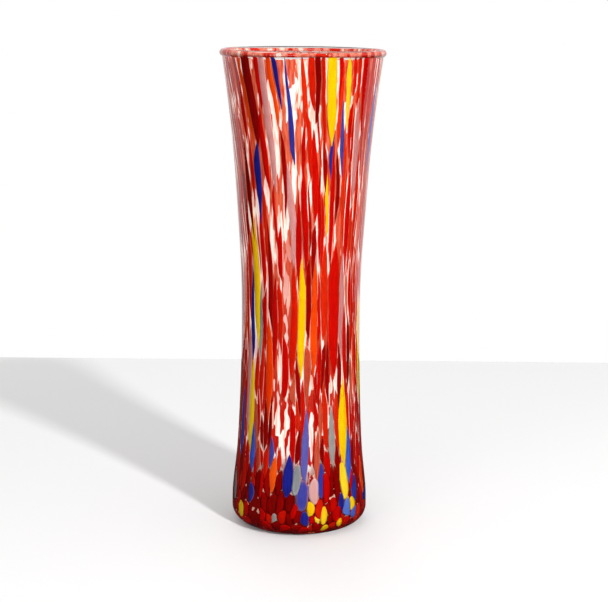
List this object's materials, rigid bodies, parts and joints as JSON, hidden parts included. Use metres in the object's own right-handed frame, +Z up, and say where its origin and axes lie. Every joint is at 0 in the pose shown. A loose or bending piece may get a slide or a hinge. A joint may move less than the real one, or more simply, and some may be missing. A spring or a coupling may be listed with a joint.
{
  "type": "art glass vase",
  "caption": "Tall waisted blown glass vase with a flared rolled lip, thick base, and coloured chips drawn out into streaks between a clear gather and a clear casing.",
  "frame": {"origin": "centre of the underside, on the vase's axis, at the level of the floor", "axes": "+Z up along the axis to the lip; -Y faces the front of the vase; +X to the right seen from the front"},
  "size_m": [0.0958, 0.0958, 0.28],
  "materials": {
    "clear_glass": "clear, fire-polished inside",
    "casing_glass": "clear, fire-polished outside",
    "lip_glass": "clear, rolled and fire-polished",
    "scarlet_glass": "opaque coloured glass chip, sealed under clear glass",
    "crimson_glass": "opaque coloured glass chip, sealed under clear glass",
    "vermilion_glass": "opaque coloured glass chip, sealed under clear glass",
    "salmon_glass": "opaque coloured glass chip, sealed under clear glass",
    "orange_glass": "opaque coloured glass chip, sealed under clear glass",
    "yellow_glass": "opaque coloured glass chip, sealed under clear glass",
    "cobalt_glass": "opaque coloured glass chip, sealed under clear glass",
    "sky_blue_glass": "opaque coloured glass chip, sealed under clear glass",
    "periwinkle_glass": "opaque coloured glass chip, sealed under clear glass",
    "lilac_glass": "opaque coloured glass chip, sealed under clear glass",
    "grey_glass": "opaque coloured glass chip, sealed under clear glass",
    "white_glass": "opaque coloured glass chip, sealed under clear glass"
  },
  "bodies": {
    "root": {"clear_gather": "clear_glass", "clear_casing": "casing_glass", "lip_bead": "lip_glass", "scarlet_streaks": "scarlet_glass", "crimson_streaks": "crimson_glass", "vermilion_streaks": "vermilion_glass", "salmon_streaks": "salmon_glass", "orange_streaks": "orange_glass", "yellow_streaks": "yellow_glass", "cobalt_streaks": "cobalt_glass", "sky_blue_streaks": "sky_blue_glass", "periwinkle_streaks": "periwinkle_glass", "lilac_streaks": "lilac_glass", "grey_streaks": "grey_glass", "white_streaks": "white_glass", "scarlet_spots": "scarlet_glass", "crimson_spots": "crimson_glass", "vermilion_spots": "vermilion_glass", "orange_spots": "orange_glass", "yellow_spots": "yellow_glass", "cobalt_spots": "cobalt_glass", "sky_blue_spots": "sky_blue_glass", "periwinkle_spots": "periwinkle_glass", "lilac_spots": "lilac_glass", "grey_spots": "grey_glass"}
  },
  "joints": []
}
